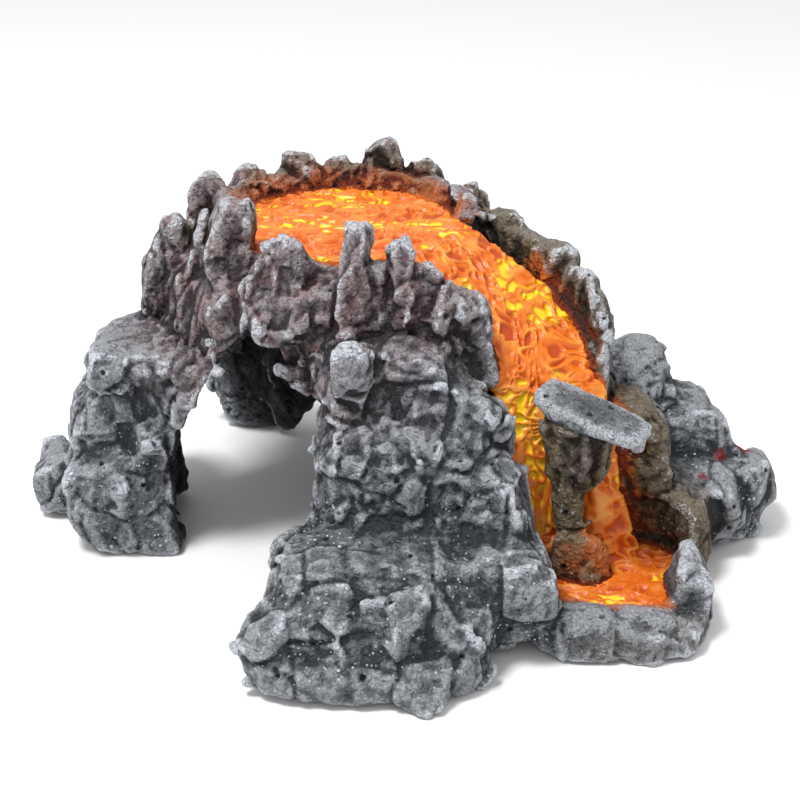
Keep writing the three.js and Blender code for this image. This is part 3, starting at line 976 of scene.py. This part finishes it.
class Graph:
    """A material's nodes. Most methods add nodes and give the output of the last one."""

    def __init__(self, name):
        self.material = bpy.data.materials.new(name)
        self.material.use_nodes = True
        self.tree = self.material.node_tree
        self.shader = self.tree.nodes["Principled BSDF"]

    def add(self, kind, output=0, settings=(), **inputs):
        node = self.tree.nodes.new(kind)
        for key, value in dict(settings).items():
            setattr(node, key, value)
        for key, value in inputs.items():
            self.feed(node.inputs[key.replace("_", " ")], value)
        return node.outputs[output]

    def feed(self, socket, value):
        if isinstance(value, bpy.types.NodeSocket):
            self.tree.links.new(value, socket)
        elif isinstance(value, tuple) and len(value) == 3 and socket.type == "RGBA":
            socket.default_value = (*value, 1)
        else:
            socket.default_value = value

    def attribute(self, name):
        return self.add("ShaderNodeAttribute", "Fac", {"attribute_name": name})

    def place(self):
        return self.add("ShaderNodeTexCoord", "Object")

    def noise(self, size, detail=3.0, roughness=0.55):
        inputs = {"Scale": 1 / size, "Detail": detail, "Roughness": roughness}
        return self.add("ShaderNodeTexNoise", "Fac", Vector=self.place(), **inputs)

    def dots(self, size, within):
        """1 in round dots, one in each cell of that size, which reach that share of it from their middle."""
        away = self.add("ShaderNodeTexVoronoi", "Distance", Vector=self.place(), Scale=1 / size)
        return self.range(away, within, within * 0.55)

    def chips(self, size):
        """Small flat chips of about that size: how high each stands between its edges."""
        bend = self.tree.nodes.new("ShaderNodeVectorMath")
        bend.operation = "MULTIPLY_ADD"
        shift = self.add("ShaderNodeTexNoise", "Color", Vector=self.place(), Scale=0.7 / size)
        self.feed(bend.inputs[0], shift)
        bend.inputs[1].default_value = (1.4 * size, 1.4 * size, 1.4 * size)
        self.feed(bend.inputs[2], self.place())
        settings = {"feature": "DISTANCE_TO_EDGE"}
        edge = self.add("ShaderNodeTexVoronoi", "Distance", settings, Vector=bend.outputs[0], Scale=1 / size)
        return self.range(edge, 0, 0.3)

    def range(self, value, low, high, to_low=0.0, to_high=1.0):
        return self.add(
            "ShaderNodeMapRange", 0, {"interpolation_type": "SMOOTHSTEP"},
            Value=value, From_Min=low, From_Max=high, To_Min=to_low, To_Max=to_high,
        )

    def math(self, operation, a, b):
        node = self.tree.nodes.new("ShaderNodeMath")
        node.operation = operation
        self.feed(node.inputs[0], a)
        self.feed(node.inputs[1], b)
        return node.outputs[0]

    def mix(self, share, a, b):
        node = self.tree.nodes.new("ShaderNodeMix")
        node.data_type = "RGBA"
        for socket, value in zip([s for s in node.inputs if s.enabled], (share, a, b)):
            self.feed(socket, value)
        return next(s for s in node.outputs if s.enabled)

    def bump(self, height, distance, strength=1.0, normal=None):
        node = self.tree.nodes.new("ShaderNodeBump")
        node.inputs["Strength"].default_value = strength
        node.inputs["Distance"].default_value = distance
        self.feed(node.inputs["Height"], height)
        if normal is not None:
            self.feed(node.inputs["Normal"], normal)
        return node.outputs[0]

    def finish(self, color, roughness, normal, specular):
        self.feed(self.shader.inputs["Base Color"], color)
        self.feed(self.shader.inputs["Roughness"], roughness)
        self.feed(self.shader.inputs["Normal"], normal)
        self.shader.inputs["Specular IOR Level"].default_value = specular
        return self.material


# Three tones of each paint, picked by rock_tone: the shade tone is partly painted shade, and the light tone
# partly painted light.
STONE = {"shade": (0.040, 0.045, 0.051), "mid": (0.154, 0.163, 0.177), "light": (0.385, 0.402, 0.430)}
PURPLE = {"shade": (0.034, 0.018, 0.021), "mid": (0.134, 0.080, 0.084), "light": (0.340, 0.250, 0.254)}
BROWN = {"shade": (0.018, 0.010, 0.003), "mid": (0.084, 0.054, 0.020), "light": (0.190, 0.138, 0.068)}
ORANGE = {"shade": (0.300, 0.035, 0.002), "light": (0.800, 0.170, 0.012)}
RED = (0.330, 0.012, 0.016)
CHALK = (0.700, 0.730, 0.790)
# Near black: painted shade inside the cave, and the colour of the pits and pinhole dots.
PIT_AND_CAVE_SHADE = (0.008, 0.009, 0.011)


def in_tones(g, low, high, colors):
    """A colour that goes from its shade over its middle tone to its light one."""
    return g.mix(high, g.mix(low, colors["shade"], colors["mid"]), colors["light"])


def rock_tone(g, gritty):
    """How light the rock is: dark in hollows, partly a dark wash and partly painted shade, and light on
    crests and on level tops, which are partly dust and partly painted light from above.
    """
    # Dark in hollows: partly a dark wash, partly painted shade.
    tone = g.range(g.attribute("crevice"), 0.62, 0.38, 0.15, 0.70)
    for part in (
        g.range(g.attribute("crest"), 0.62, 0.38, -0.30, 0.32),
        g.range(g.attribute("fine"), 0.2, 0.8, -0.14, 0.14),
        g.range(g.noise(1.1 * MM, 6.0, 0.75), 0.34, 0.66, -0.17, 0.17),
        g.range(gritty, 0.34, 0.66, -0.08, 0.08),
        g.range(g.noise(13 * MM, 4.0), 0.32, 0.68, -0.10, 0.10),
        # Paler level tops: partly dust, partly painted light from above.
        g.range(g.attribute("upward"), 0.5, 0.95, 0, 0.42),
    ):
        tone = g.math("ADD", tone, part)
    return tone


def sprayed_rock(g, tone, purpled):
    """The rock's own grey, with the sprayed colours and the red spots over it."""
    low, high = g.range(tone, 0.05, 0.5), g.range(tone, 0.5, 1.0)
    tint = g.math("MULTIPLY", g.attribute("purple"), g.range(g.noise(7 * MM), 0.3, 0.7, 0.35, purpled))
    color = g.mix(tint, in_tones(g, low, high, STONE), in_tones(g, low, high, PURPLE))
    color = g.mix(g.attribute("brown"), color, in_tones(g, low, high, BROWN))
    color = g.mix(g.attribute("orange"), color, g.mix(low, ORANGE["shade"], ORANGE["light"]))
    return g.mix(g.math("MULTIPLY", g.attribute("red"), 0.7), color, RED)


def chalked_rock(g, color, speckled):
    """The colour with chalky edges and small pale specks."""
    broken = g.range(g.noise(0.8 * MM, 4.0, 0.7), 0.3, 0.7, -0.55, 0.30)
    chalk = g.math("ADD", g.attribute("chalk"), broken)
    color = g.mix(g.range(chalk, 0.25, 0.75, 0, 0.85), color, CHALK)
    dots = g.math("MAXIMUM", g.dots(2.1 * MM, 0.21), g.dots(4.5 * MM, 0.15))
    specks = g.math("MULTIPLY", dots, g.range(g.noise(14 * MM), 0.40, 0.60, 0, speckled))
    return g.mix(g.math("MULTIPLY", specks, g.attribute("low")), color, CHALK)


def pitted_rock(g, color):
    """The colour with black in the cave, which is painted shade, and in the pits."""
    # Painted shade: the inside of the cave is near black.
    color = g.mix(g.math("MULTIPLY", g.attribute("cave"), 0.9), color, PIT_AND_CAVE_SHADE)
    color = g.mix(g.range(g.attribute("pit"), 0.05, 0.4), color, PIT_AND_CAVE_SHADE)
    return g.mix(g.math("MULTIPLY", g.dots(6.5 * MM, 0.075), 0.9), color, PIT_AND_CAVE_SHADE)


def rock_bumps(g, gritty):
    """Grit and chips that are too small for the mesh."""
    bumps = g.bump(gritty, 1.6 * MM, 1.0)
    bumps = g.bump(g.chips(4.2 * MM), 1.6 * MM, 0.8, bumps)
    bumps = g.bump(g.chips(1.9 * MM), 0.7 * MM, 0.8, bumps)
    return g.bump(g.noise(0.7 * MM, 3.0, 0.6), 0.3 * MM, 0.7, bumps)


def rock_material(name, speckled, purpled):
    """Matt cast stone with sprayed colours. Speckled and purpled are its shares of specks and purple."""
    g = Graph(name)
    gritty = g.noise(2.4 * MM, 7.0, 0.72)
    color = sprayed_rock(g, rock_tone(g, gritty), purpled)
    color = pitted_rock(g, chalked_rock(g, color, speckled))
    return g.finish(color, g.range(gritty, 0.3, 0.7, 0.92, 0.7), rock_bumps(g, gritty), 0.3)


LAVA_DEEP = (0.480, 0.060, 0.002)
LAVA_ORANGE = (0.760, 0.160, 0.005)
LAVA_CREST = (0.880, 0.360, 0.055)
LAVA_YELLOW = (0.940, 0.610, 0.012)


def lava_material(name):
    """Semi-gloss painted lava: orange ropes with paler crests, and yellow in some hollows. It is deeper in
    colour where it is level, a painted shade that tones down the light from above, and where rock stands
    over it, a painted shade under the rock."""
    g = Graph(name)
    rope = g.attribute("rope")
    color = g.mix(g.range(rope, 0.0, 0.45), LAVA_DEEP, LAVA_ORANGE)
    crest = g.math("MULTIPLY", g.range(rope, 0.55, 0.95), g.range(g.noise(8 * MM), 0.35, 0.65))
    color = g.mix(crest, color, LAVA_CREST)
    # Painted shade on level lava, which tones down the light from above.
    color = g.mix(g.range(g.attribute("upward"), 0.75, 0.95, 0.0, 0.35), color, LAVA_DEEP)
    hollow = g.range(rope, 0.75, 0.35)
    color = g.mix(g.math("MULTIPLY", g.attribute("yellow"), hollow), color, LAVA_YELLOW)
    # Painted shade where rock stands over the lava.
    color = g.mix(g.range(g.attribute("hidden"), 0.56, 0.76, 0.0, 0.78), color, LAVA_DEEP)
    grain = g.bump(g.noise(1.5 * MM, 3.0), 0.25 * MM, 0.5)
    return g.finish(color, g.range(g.noise(6 * MM), 0.3, 0.7, 0.34, 0.48), grain, 0.5)


def plain_material(name, color, roughness):
    """One colour all over, for the floor."""
    g = Graph(name)
    g.shader.inputs["Base Color"].default_value = (*color, 1)
    g.shader.inputs["Roughness"].default_value = roughness
    return g.material


MATERIALS = {
    "rock_grey": rock_material("rock_grey", 1.0, 0.8),
    "rock_purple": rock_material("rock_purple", 0.15, 1.0),
    "rock_brown": rock_material("rock_brown", 0.5, 0.6),
    "lava": lava_material("lava"),
}
for name, piece in pieces.items():
    piece.data.materials.append(MATERIALS[SLOTS[name]])

# ---- Setting --------

FLOOR_SIZE = 8
FLOOR_COLOR, FLOOR_ROUGHNESS = (0.93, 0.93, 0.93), 0.6
WORLD_STRENGTH = 0.77
KEY_PLACE, KEY_TARGET = Vector((-0.35, -0.30, 1.15)), Vector((0, 0, 0.04))
KEY_SIZE, KEY_WATTS = 0.30, 12.5
CAMERA_TARGET = Vector((CRATER.x + 18 * MM, CRATER.y - 13 * MM, CRATER_HIGH.z - 58 * MM))
CAMERA_DISTANCE = 0.560
CAMERA_ELEVATION = math.radians(25)
LENS, SENSOR = 74.25, 36.0


def make_floor():
    """A pale floor that reaches far past the view."""
    bpy.ops.mesh.primitive_plane_add(size=FLOOR_SIZE, location=(0, 0, 0))
    floor = bpy.context.object
    floor.name = "floor"
    floor.data.materials.append(plain_material("floor", FLOOR_COLOR, FLOOR_ROUGHNESS))


def make_world():
    """Even white light from all sides."""
    world = bpy.data.worlds.new("studio")
    world.use_nodes = True
    world.node_tree.nodes["Background"].inputs["Color"].default_value = (1, 1, 1, 1)
    world.node_tree.nodes["Background"].inputs["Strength"].default_value = WORLD_STRENGTH
    bpy.context.scene.world = world


def make_key_light():
    """A soft lamp high at the front left."""
    lamp = bpy.data.lights.new("key", "AREA")
    lamp.size = KEY_SIZE
    lamp.energy = KEY_WATTS
    key = bpy.data.objects.new("key", lamp)
    bpy.context.scene.collection.objects.link(key)
    key.location = KEY_PLACE
    key.rotation_euler = (KEY_TARGET - KEY_PLACE).to_track_quat("-Z", "Y").to_euler()


def make_camera():
    """A camera in front of the object, that looks down on it."""
    camera = bpy.data.objects.new("camera", bpy.data.cameras.new("camera"))
    bpy.context.scene.collection.objects.link(camera)
    back = Vector((0, -math.cos(CAMERA_ELEVATION), math.sin(CAMERA_ELEVATION)))
    camera.location = CAMERA_TARGET + back * CAMERA_DISTANCE
    camera.rotation_euler = (-back).to_track_quat("-Z", "Y").to_euler()
    camera.data.lens = LENS
    camera.data.sensor_width = SENSOR
    bpy.context.scene.camera = camera


make_floor()
make_world()
make_key_light()
make_camera()
bpy.context.scene.view_settings.view_transform = "Standard"
